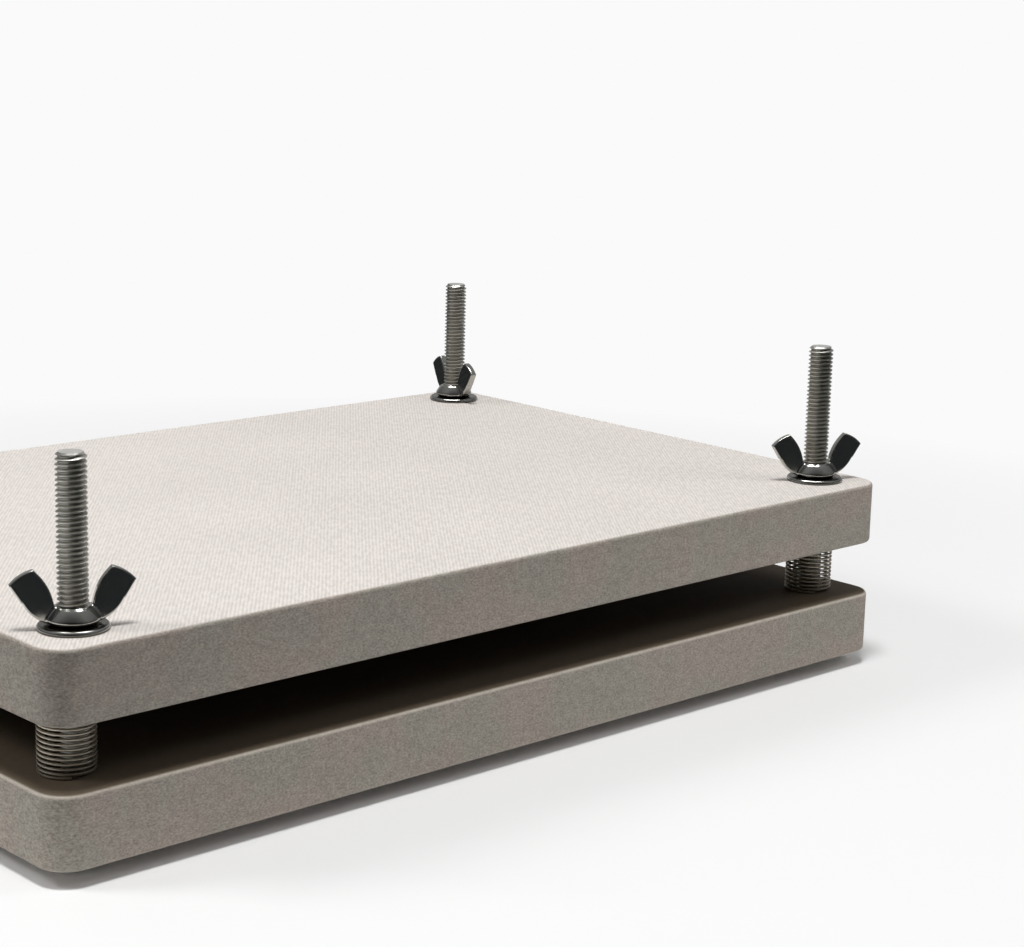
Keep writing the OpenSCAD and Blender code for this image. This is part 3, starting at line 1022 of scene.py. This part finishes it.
@dataclass
class Washer:
    """A stamped flat washer, round at one rim and crisp at the other.

    Attributes:
        corner: Where it lies.
        hole_radius: Radius of its hole.
        rolled: Width and height of its rolled upper outer rim.
        crisp: Radius of its other rims.
        strip: Width of the strips that keep its faces flat in shading.
        bright: How much of the rolled rim's width and height keeps the clean colour; the rest
        of the washer takes painted shade and painted reflection.
    """

    corner: Corner
    hole_radius: float = 4.15
    rolled: Point2 = (1.0, 0.95)
    crisp: float = 0.15
    strip: float = 0.3
    bright: Point2 = (0.5, 0.9)
    sides: int = 96
    crisp_steps: int = 3
    rolled_steps: int = 9

    def build(self) -> Object:
        """Returns the finished washer."""
        node = "washer_" + self.corner.name
        low, high = box_mm(node)
        outer, thick = (high.x - low.x) / 2, high.z - low.z
        crisp, strip, inner = self.crisp, self.strip, self.hole_radius + self.crisp
        section = arc((outer - crisp, crisp), crisp, -90, 0, self.crisp_steps)
        for across, rise in arc((0.0, 0.0), 1.0, 0, 90, self.rolled_steps):
            section.append((outer - self.rolled[0] * (1 - across), thick - self.rolled[1] * (1 - rise)))
        section += [(outer - self.rolled[0] - strip, thick), (inner + strip, thick)]
        section += arc((inner, thick - crisp), crisp, 90, 180, self.crisp_steps)
        section += arc((inner, crisp), crisp, 180, 270, self.crisp_steps)
        section += [(inner + strip, 0.0), (outer - crisp - strip, 0.0)]
        bm = bmesh.new()
        shade_dirt_mark = bm.verts.layers.float.new("shade_dirt_mark")
        rings = turn_section(bm, section, self.sides, closed=True)
        # Painted shade and painted reflection: all of the washer but the top of its rolled rim takes the dark
        # colour.
        bright_from = outer - self.rolled[0] * self.bright[0]
        bright_above = thick - self.bright[1] * self.rolled[1]
        for ring, (radius, z) in zip(rings, section):
            for vert in ring:
                vert[shade_dirt_mark] = 0.0 if z > bright_above and radius > bright_from else 1.0
        place = Matrix.Translation(self.corner.spot(low.z))
        piece = finish_piece(node + "_stamped", close_mesh(bm, node), place, WASHER_FINISH, crease=40.0)
        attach(piece, Body.PLATEN.value)
        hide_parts(node)
        return piece


@dataclass
class WingNutBlank:
    """The shape that all the wing nuts share, with its seat at height 0 and a wing along X.

    The blank is roughed out, remeshed to even faces, and drawn onto a smooth distance field
    of a hub and two wings that blend into each other. Then the bore is tapped.

    Attributes:
        waist_ease: How far the hub's lower corner is rounded.
        shoulder_ease: How far its upper corner is rounded.
        flank_share: Bulge of the hub's flank, as a share of its length.
        fillet: Size of the blend between hub and wings.
        draft: How much thicker the wings' faces get for each millimetre down.
        heel_shares: Place of a wing's heel, as shares of its reach and height.
        tip_shares: Place of its tip, alike.
        top_shares: Place of its highest corner, alike.
        belly_share: Bulge of its lower edge, as a share of the edge's length.
        crown_share: Bulge of its outer edge, alike.
        brow_share: Bulge of its upper edge, alike.
        heel_step: Width of the small step at the heel.
        sunk: How far the wing's root reaches into the hub, inwards from its top and bore.
        probe: Distance over which the field's slope is measured.
        tap_cover: How far the tap stays inside the bore between its threads.
        tap_overrun: How far the tap reaches past both ends of the hub.
        spare_turns: Turns of the tap's grid beyond those in the hub.
    """

    thread: ThreadRecipe
    height: float = 13.5
    reach: float = 15.0
    root_thick: float = 2.6
    tip_thick: float = 2.0
    wing_edge: float = 0.42
    waist_ease: float = 0.7
    shoulder_ease: float = 0.15
    flank_share: float = 0.035
    hub_bevel: Point2 = (0.78, 0.58)
    fillet: float = 0.7
    draft: float = 0.018
    waist_radius: float = 6.7
    seat_radius: float = 5.5
    top_radius: float = 4.9
    hub_height: float = 4.4
    waist_height: float = 1.0
    bore_radius: float = 3.38
    mouth_radius: float = 4.15
    tap_radius: float = 3.9
    pitch: float = 1.25
    heel_shares: Point2 = (0.8, 0.41)
    tip_shares: Point2 = (1.0, 0.74)
    top_shares: Point2 = (0.62, 1.0)
    belly_share: float = 0.09
    crown_share: float = 0.085
    brow_share: float = 0.09
    heel_step: float = 0.35
    sunk: Point2 = (0.6, 0.4)
    cell: float = 0.16
    draws: int = 12
    probe: float = 0.01
    least_slope: float = 0.25
    tap_cover: float = 0.06
    tap_overrun: float = 1.0
    spare_turns: int = 8
    sides: int = 64

    @staticmethod
    def curved(start: Point2, end: Point2, share: float, steps: int = 10) -> list[Point2]:
        """Returns an edge that bulges to the right, without its last point.

        Args:
            start: First point.
            end: Last point.
            share: How far the edge bulges, as a share of its length.
            steps: Number of straight pieces.
        """
        (x, y), span_x, span_y = start, end[0] - start[0], end[1] - start[1]
        points = []
        for step in range(steps):
            along = step / steps
            bulge = 4 * share * along * (1 - along)
            points.append((x + along * span_x + bulge * span_y, y + along * span_y - bulge * span_x))
        return points

    @staticmethod
    def eased(before: Point2, corner: Point2, after: Point2, reach: float, steps: int = 5) -> list[Point2]:
        """Returns a rounded corner.

        Args:
            before: The corner before it.
            corner: The corner to round.
            after: The corner after it.
            reach: Length that the round takes off both edges.
            steps: Number of straight pieces.
        """
        here = Vector(corner)
        start = here + (Vector(before) - here).normalized() * reach
        end = here + (Vector(after) - here).normalized() * reach
        points = []
        for step in range(steps + 1):
            share = step / steps
            spot = (1 - share) ** 2 * start + 2 * share * (1 - share) * here + share**2 * end
            points.append((spot.x, spot.y))
        return points

    def wing_point(self, shares: Point2) -> Point2:
        """Returns a point of the wing's outline from its shares of reach and height."""
        return shares[0] * self.reach, shares[1] * self.height

    def wing_outline(self) -> list[Point2]:
        """Returns the outline of one wing in the plane of the bolt's axis."""
        root = self.bore_radius + self.sunk[0]
        sole = (self.waist_radius, self.waist_height / 2)
        heel, tip, top = map(self.wing_point, (self.heel_shares, self.tip_shares, self.top_shares))
        ledge = (heel[0] + self.heel_step, heel[1] + self.heel_step / 2)
        shoulder = (self.top_radius - self.sunk[1], self.hub_height)
        points = [(root, self.waist_height / 2)]
        points += self.curved(sole, heel, self.belly_share) + [heel, ledge]
        points += self.curved(tip, top, self.crown_share) + self.curved(top, shoulder, self.brow_share)
        return points + [shoulder, (root, self.hub_height - self.sunk[1])]

    def hub_outline(self) -> list[Point2]:
        """Returns the half section of the hub, with its bore and the mouths of its bore."""
        bevel = self.mouth_radius - self.bore_radius
        waist = (self.waist_radius, self.waist_height)
        shoulder = (self.top_radius, self.hub_height - self.hub_bevel[1])
        seat = (self.seat_radius, 0.0)
        brim = (self.top_radius - self.hub_bevel[0], self.hub_height)
        # The flank without the points that the waist's round takes the place of
        flank = self.curved(waist, shoulder, self.flank_share)[3:]
        outline = [(self.bore_radius, bevel), (self.mouth_radius, 0.0), seat]
        outline += self.eased(seat, waist, flank[0], self.waist_ease) + flank
        outline += self.eased(flank[-1], shoulder, brim, self.shoulder_ease)
        return outline + [brim, (self.bore_radius, self.hub_height - bevel)]

    @staticmethod
    def outline_distance(x: np.ndarray, y: np.ndarray, outline: list[Point2]) -> np.ndarray:
        """Returns the signed distance of points from a closed outline, below 0 inside.

        Args:
            x: First coordinates of the points.
            y: Second coordinates of the points.
            outline: Corners of the outline.
        """
        nearest = np.full(x.shape, np.inf)
        sign = np.ones(x.shape)
        for (x0, y0), (x1, y1) in zip(outline, outline[1:] + outline[:1]):
            run, rise = x1 - x0, y1 - y0
            along = np.clip(((x - x0) * run + (y - y0) * rise) / (run * run + rise * rise), 0.0, 1.0)
            nearest = np.minimum(nearest, np.hypot(x - x0 - along * run, y - y0 - along * rise))
            crosses = (y0 > y) != (y1 > y)
            with np.errstate(divide="ignore", invalid="ignore"):
                left = x < run * (y - y0) / rise + x0
            sign = np.where(crosses & left, -sign, sign)
        return nearest * sign

    def field(self, points: np.ndarray) -> np.ndarray:
        """Returns the signed distance of points from the nut's skin, nearly.

        Args:
            points: Places in millimetres, one a row.
        """
        x, y, z = np.abs(points[:, 0]), points[:, 1], points[:, 2]
        side = self.outline_distance(x, z, self.wing_outline()) + self.wing_edge
        taper = (self.tip_thick - self.root_thick) / 2
        half = self.root_thick / 2 + taper * np.clip(x / self.reach, 0.0, 1.0)
        half = half + self.draft * (self.height - z)
        face = np.abs(y) - half + self.wing_edge
        outside = np.hypot(np.maximum(side, 0.0), np.maximum(face, 0.0))
        wing = outside + np.minimum(np.maximum(side, face), 0.0) - self.wing_edge
        around = np.hypot(points[:, 0], y)
        hub = self.outline_distance(around, z, self.hub_outline())
        near = np.clip(0.5 + 0.5 * (wing - hub) / self.fillet, 0.0, 1.0)
        joined = wing * (1 - near) + hub * near - self.fillet * near * (1 - near)
        return np.maximum(joined, self.bore_radius - around)

    def slope(self, points: np.ndarray) -> np.ndarray:
        """Returns the slope of the field along each axis.

        Args:
            points: Places in millimetres, one a row.
        """
        steps = self.probe * np.eye(3)
        rises = [self.field(points + step) - self.field(points - step) for step in steps]
        return np.stack(rises, 1) / (2 * self.probe)

    def roughed(self) -> Mesh:
        """Returns the hub and wings as plain closed shells, remeshed as one."""
        bm = bmesh.new()
        outline = self.wing_outline()
        for turn in (0, math.pi):
            spin = Matrix.Rotation(turn, 4, "Z")
            sides = []
            for offset in (-self.root_thick / 2, self.root_thick / 2):
                sides.append([bm.verts.new(spin @ Vector((x, offset, z))) for x, z in outline])
            bridge(bm, sides)
            for side in sides:
                bm.faces.new(side)
        turn_section(bm, self.hub_outline(), self.sides, closed=True)
        carrier = put_in_scene("wing_nut_rough", close_mesh(bm, "wing_nut_rough", merge=0.0001))
        remesh = carrier.modifiers.new("even", "REMESH")
        remesh.mode = "VOXEL"
        remesh.voxel_size = self.cell
        return evaluated_mesh(carrier)

    def smoothed(self) -> Mesh:
        """Returns the blank drawn onto its distance field."""
        mesh = self.roughed()
        points = np.zeros(len(mesh.vertices) * 3)
        mesh.vertices.foreach_get("co", points)
        points = points.reshape(-1, 3)
        for _ in range(self.draws):
            slope = self.slope(points)
            steep = np.maximum((slope * slope).sum(1), self.least_slope)
            step = np.clip(self.field(points) / steep, -self.cell, self.cell)
            points = points - step[:, None] * slope
        mesh.vertices.foreach_set("co", points.ravel())
        mesh.update()
        return mesh

    def build(self) -> Mesh:
        """Returns the nut's mesh with its tapped bore."""
        bm = self.thread.rolled(
            NUT_FINISH,
            int(self.hub_height / self.pitch) + self.spare_turns,
            pitch=self.pitch,
            crest=self.tap_radius,
            root=self.bore_radius - self.tap_cover,
            bottom=-self.tap_overrun,
            top=self.hub_height + self.tap_overrun,
            bevel=0.0,
            phase=0.0,
            sides=self.sides,
        )
        bmesh.ops.holes_fill(bm, edges=[edge for edge in bm.edges if edge.is_boundary])
        tap = put_in_scene("tap", close_mesh(bm, "tap"))
        blank = put_in_scene("wing_nut_blank", self.smoothed())
        cut = blank.modifiers.new("tapped", "BOOLEAN")
        cut.operation = "DIFFERENCE"
        cut.solver = "EXACT"
        cut.object = tap
        mesh = evaluated_mesh(blank)
        bpy.data.objects.remove(tap)
        return mesh


@dataclass
class WingNut:
    """One wing nut on its bolt.

    Attributes:
        corner: Where it stands.
        blank: The shape that it shares with the others.
    """

    corner: Corner
    blank: Mesh

    def build(self) -> Object:
        """Returns the finished nut."""
        node = "wing_nut_" + self.corner.name
        low, _ = box_mm(node)
        place = Matrix.Translation(self.corner.spot(low.z))
        place @= Matrix.Rotation(math.radians(self.corner.nut_heading), 4, "Z")
        piece = finish_piece(node + "_forged", self.blank.copy(), place, NUT_FINISH, crease=38.0)
        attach(piece, "nut_" + self.corner.name)
        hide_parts(node)
        return piece


@dataclass
class CoilSpring:
    """A compression spring round a bolt, squeezed between the two boards.

    Attributes:
        corner: Where it stands.
        recipe: The recipe of its wire.
        dead_turns: Turns at each end that lie on the next ones.
        dead_rise: Rise of a dead turn, in radii of the wire.
        clear: Air between the wire and each board.
        rings: Rings of the wire in a turn.
    """

    corner: Corner
    recipe: SpringRecipe
    wire_radius: float = 0.38
    coil_radius: float = 6.92
    bolt_radius: float = 3.8
    turns: float = 13.2
    dead_turns: float = 0.7
    dead_rise: float = 2.08
    clear: float = 0.03
    rings: int = 40
    wire_sides: int = 14

    def wire(self, gap: float) -> Mesh:
        """Returns the wire's mesh.

        Args:
            gap: Height between the boards.
        """
        values = {
            "Turns": self.turns,
            "Coil Radius": self.coil_radius,
            "Wire Radius": self.wire_radius,
            "Rise": gap - 2 * (self.wire_radius + self.clear),
            "Dead Turns": self.dead_turns,
            "Dead Pitch": self.dead_rise * self.wire_radius,
            "Rings": self.rings,
            "Sides": self.wire_sides,
            "Material": SPRING_FINISH.material(),
        }
        return self.recipe.run(values)

    def build(self) -> Object:
        """Returns the finished spring."""
        node = "spring_" + self.corner.name
        floor = box_mm("lower_board")[1].z
        ceiling = box_mm("upper_board")[0].z
        slip = self.corner.slip_share * (self.coil_radius - self.wire_radius - self.bolt_radius)
        heading = math.radians(self.corner.slip_heading)
        shift = Vector((slip * math.cos(heading), slip * math.sin(heading), 0.0))
        place = Matrix.Translation(self.corner.spot(floor + self.wire_radius + self.clear) + shift)
        place @= Matrix.Rotation(math.radians(self.corner.spring_start), 4, "Z")
        piece = finish_piece(node + "_wound", self.wire(ceiling - floor), place, SPRING_FINISH, crease=50.0)
        start = self.corner.spot(floor) * METRES_PER_MM
        end = self.corner.spot(ceiling) * METRES_PER_MM
        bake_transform(piece, Body.BASE.value, Body.PLATEN.value, start=start, end=end)
        self.keep_wire_round(piece)
        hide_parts(node)
        return piece

    @staticmethod
    def keep_wire_round(piece: Object) -> None:
        """Makes all the points of one ring of the wire follow the boards alike.

        Args:
            piece: The spring, whose climb attribute runs from 0 at its foot to 1 at its top.
        """
        climb = np.zeros(len(piece.data.vertices), np.float32)
        piece.data.attributes["climb"].data.foreach_get("value", climb)
        piece.data.attributes["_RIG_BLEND"].data.foreach_set("value", climb)


@dataclass(frozen=True)
class Lamp:
    """A flat lamp that shines on the press.

    Attributes:
        only_mirrored: Whether it shows only in the metal, or else only lights.
    """

    name: str
    place: Point3
    size: Point2
    watts: float
    only_mirrored: bool = False

    def hang(self, view_heading: float) -> None:
        """Hangs the lamp with its long side across the view.

        Args:
            view_heading: Direction in which the camera looks, in degrees from X.
        """
        data = bpy.data.lights.new(self.name, "AREA")
        data.shape = "RECTANGLE"
        data.size, data.size_y = self.size
        data.energy = self.watts
        lamp = put_in_scene(self.name, data)
        heading = math.radians(view_heading)
        back = Vector(self.place).normalized()
        across = Vector((math.sin(heading), -math.cos(heading), 0.0))
        upward = back.cross(across).normalized()
        turn = Matrix((upward.cross(back), upward, back)).transposed()
        lamp.matrix_world = Matrix.Translation(self.place) @ turn.to_4x4()
        lamp.visible_glossy = self.only_mirrored
        lamp.visible_diffuse = not self.only_mirrored


LAMPS = (
    Lamp("overhead", (-0.33, -0.33, 2.15), (0.5, 0.5), 34.2),
    Lamp("ceiling", (0.11, 0.15, 1.4), (1.0, 0.46), 14.0, only_mirrored=True),
    Lamp("left", (-0.69, 0.34, 0.66), (0.3, 0.3), 2.8),
    Lamp("right", (0.50, -0.56, 0.63), (0.3, 0.3), 1.25),
)


@dataclass
class Studio:
    """A white table in a white room with soft lamps, a dark side behind the camera, and a camera.

    Attributes:
        camera_place: Where the camera stands, in millimetres.
        camera_heading: Direction in which it looks, in degrees from X.
        camera_pitch: How far it looks down, in degrees.
        floor_half: Half the side of the table, in metres.
        white: Brightness of the room as the camera sees it.
        fade: Distances from the press between which the table turns as white as the room.
        dark_from: How far in front of the press the table turns dark for light off the press.
        dark_fade: Half the width over which it does.
        dark_heading: Direction of the room's dark side, in degrees from X.
        dark_share: How much of the light comes from there.
        side_light: Light from the level of the table.
        back_light: Light from opposite the dark side, beyond that from all round.
    """

    camera_place: Point3 = (-422.65, -538.91, 213.14)
    camera_heading: float = 46.64
    camera_pitch: float = 12.23
    camera_roll: float = 1.47
    lens: float = 80.875
    clip_start: float = 0.01
    floor_half: float = 6.0
    white: float = 0.955
    table_tone: float = 0.835
    fade: Point2 = (0.23, 0.48)
    dark_from: float = 0.235
    dark_fade: float = 0.01
    dark_heading: float = 232.0
    dark_share: float = 0.1
    side_light: float = 0.07
    top_light: float = 0.28
    back_light: float = 0.3
    cloth_tone: Colour = (0.01, 0.012, 0.014)
    cloth_height: float = 0.002
    front_cloth: tuple[Point2, ...] = ((-1.6, -1.9), (1.9, -1.9), (1.9, -0.2), (-0.28, -0.2), (-1.6, -0.9))
    rear_cloth: tuple[Point2, ...] = ((0.4, 0.25), (0.7, 1.8), (-0.8, 1.8), (-0.3, 0.25))

    def view_axes(self) -> Matrix:
        """Returns the turn of the camera."""
        heading, pitch = math.radians(self.camera_heading), math.radians(self.camera_pitch)
        level = math.cos(pitch)
        ahead = Vector((level * math.cos(heading), level * math.sin(heading), -math.sin(pitch)))
        right = Vector((math.sin(heading), -math.cos(heading), 0.0))
        down = ahead.cross(right)
        roll = math.radians(self.camera_roll)
        tilted = math.cos(roll) * right - math.sin(roll) * down
        sunk = math.sin(roll) * right + math.cos(roll) * down
        return Matrix((tilted, -sunk, -ahead)).transposed()

    def set_camera(self) -> None:
        """Puts the camera where the picture was taken from."""
        data = bpy.data.cameras.new("camera")
        data.lens = self.lens
        data.clip_start = self.clip_start
        camera = put_in_scene("camera", data)
        place = Matrix.Translation(Vector(self.camera_place) * METRES_PER_MM)
        camera.matrix_world = place @ self.view_axes().to_4x4()
        bpy.context.scene.camera = camera

    def add_stage(self, name: str, corners: list[Point3]) -> tuple[Object, Graph, Node]:
        """Adds one flat face that is not part of the press.

        Args:
            name: Its name.
            corners: Its corners, in metres.

        Returns:
            The face, with the tree and the shader of its new material.
        """
        mesh = bpy.data.meshes.new(name)
        mesh.from_pydata(corners, [], [tuple(range(len(corners)))])
        material = bpy.data.materials.new(name)
        material.use_nodes = True
        mesh.materials.append(material)
        sheet = put_in_scene(name, mesh)
        return sheet, Graph(material.node_tree), material.node_tree.nodes["Principled BSDF"]

    def lay_table(self) -> None:
        """Lays the white table, which melts into the white room away from the press.

        Light that has already met the press finds the table dark where it lies near the
        camera, which keeps the sides that face the camera as deep as in a real room.
        """
        half = self.floor_half
        corners = [(-half, -half, 0), (half, -half, 0), (half, half, 0), (-half, half, 0)]
        _, graph, shader = self.add_stage("table", corners)
        plain = opaque((self.table_tone, self.table_tone, self.table_tone))
        graph.feed(shader, {"Base Color": plain, "Roughness": 0.9, "Specular IOR Level": 0.1})
        place = graph.place()
        path = graph.add("ShaderNodeLightPath")
        nearness = graph.along(place, self.camera_heading + 180.0)
        near = graph.ramp(nearness, (self.dark_from - self.dark_fade, self.dark_from + self.dark_fade))
        dark = graph.add("ShaderNodeBsdfDiffuse", {"Color": opaque(self.cloth_tone)})
        met_press = near * path.outputs["Is Diffuse Ray"]
        lit = graph.add("ShaderNodeMixShader", {0: met_press, 1: shader, 2: dark})
        distance = graph.add("ShaderNodeVectorMath", {0: place}, operation="LENGTH").outputs["Value"]
        seen = graph.ramp(distance, self.fade) * path.outputs["Is Camera Ray"]
        white = {"Color": opaque((1.0, 1.0, 1.0)), "Strength": self.white}
        glow = graph.add("ShaderNodeEmission", white)
        mixed = graph.add("ShaderNodeMixShader", {0: seen, 1: lit, 2: glow})
        graph.feed(graph.tree.nodes["Material Output"], {"Surface": mixed})

    def lay_dark_cloths(self) -> None:
        """Lays dark cloths outside the picture that only the metal mirrors."""
        for name, corners in (("front_cloth", self.front_cloth), ("rear_cloth", self.rear_cloth)):
            cloth, graph, shader = self.add_stage(name, [(x, y, self.cloth_height) for x, y in corners])
            graph.feed(shader, {"Base Color": opaque(self.cloth_tone), "Roughness": 1.0})
            cloth.visible_camera = False
            cloth.visible_diffuse = False
            cloth.visible_shadow = False

    def fill_room(self) -> None:
        """Makes the room white to the eye, and as a light brightest above and dark behind the camera."""
        world = bpy.data.worlds.new("room")
        bpy.context.scene.world = world
        world.use_nodes = True
        graph = Graph(world.node_tree)
        course = graph.add("ShaderNodeTexCoord").outputs["Generated"]
        facing = graph.along(course, self.dark_heading)
        height = graph.parts(course)[2]
        upward = graph.ramp(height, (0.0, 0.9), (self.side_light, self.top_light))
        around = upward * graph.ramp(facing, (0.3, 0.88), (1.0, self.dark_share))
        light = around + graph.ramp(facing, (-0.95, -0.6), (self.back_light, 0.0))
        seen = graph.add("ShaderNodeLightPath").outputs["Is Camera Ray"]
        strength = graph.between(seen, light, self.white)
        background = world.node_tree.nodes["Background"]
        graph.feed(background, {"Color": opaque((1.0, 1.0, 1.0)), "Strength": strength})

    def build(self) -> None:
        """Sets up the whole studio."""
        self.set_camera()
        self.lay_table()
        self.lay_dark_cloths()
        self.fill_room()
        for lamp in LAMPS:
            lamp.hang(self.camera_heading)
        bpy.context.scene.view_settings.view_transform = "Standard"


def nut_phase(corner: Corner, bolt: CoachBolt) -> float:
    """Returns the phase of a bolt's thread at which its nut's thread lies in it.

    Args:
        corner: Where both stand.
        bolt: The bolt, for its pitch and the start of its thread.
    """
    seat = box_mm("wing_nut_" + corner.name)[0].z
    climbed = (seat - WingNutBlank.tap_overrun - bolt.thread_start) / bolt.pitch
    return (climbed - corner.nut_heading / 360) % 1.0


def main() -> None:
    """Builds the studio and the press."""
    logging.basicConfig(level=logging.INFO, format="%(name)s: %(message)s")
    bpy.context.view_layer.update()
    Studio().build()
    thread, coil = ThreadRecipe(), SpringRecipe()
    Board(
        "lower_board",
        Body.BASE,
        screened_side=-1,
        hole_radius=3.88,
        neck_half=4.18,
        neck_depth=4.58,
        rim_highlights=(0.25, 0.7),
    ).build()
    Board("upper_board", Body.PLATEN, screened_side=1, hole_radius=4.4).build()
    blank = WingNutBlank(thread).build()
    for corner in CORNERS:
        bolt = CoachBolt(corner, thread)
        bolt.phase = nut_phase(corner, bolt)
        bolt.build()
        CoilSpring(corner, coil).build()
        Washer(corner).build()
        WingNut(corner, blank).build()


if __name__ == "__main__":
    main()
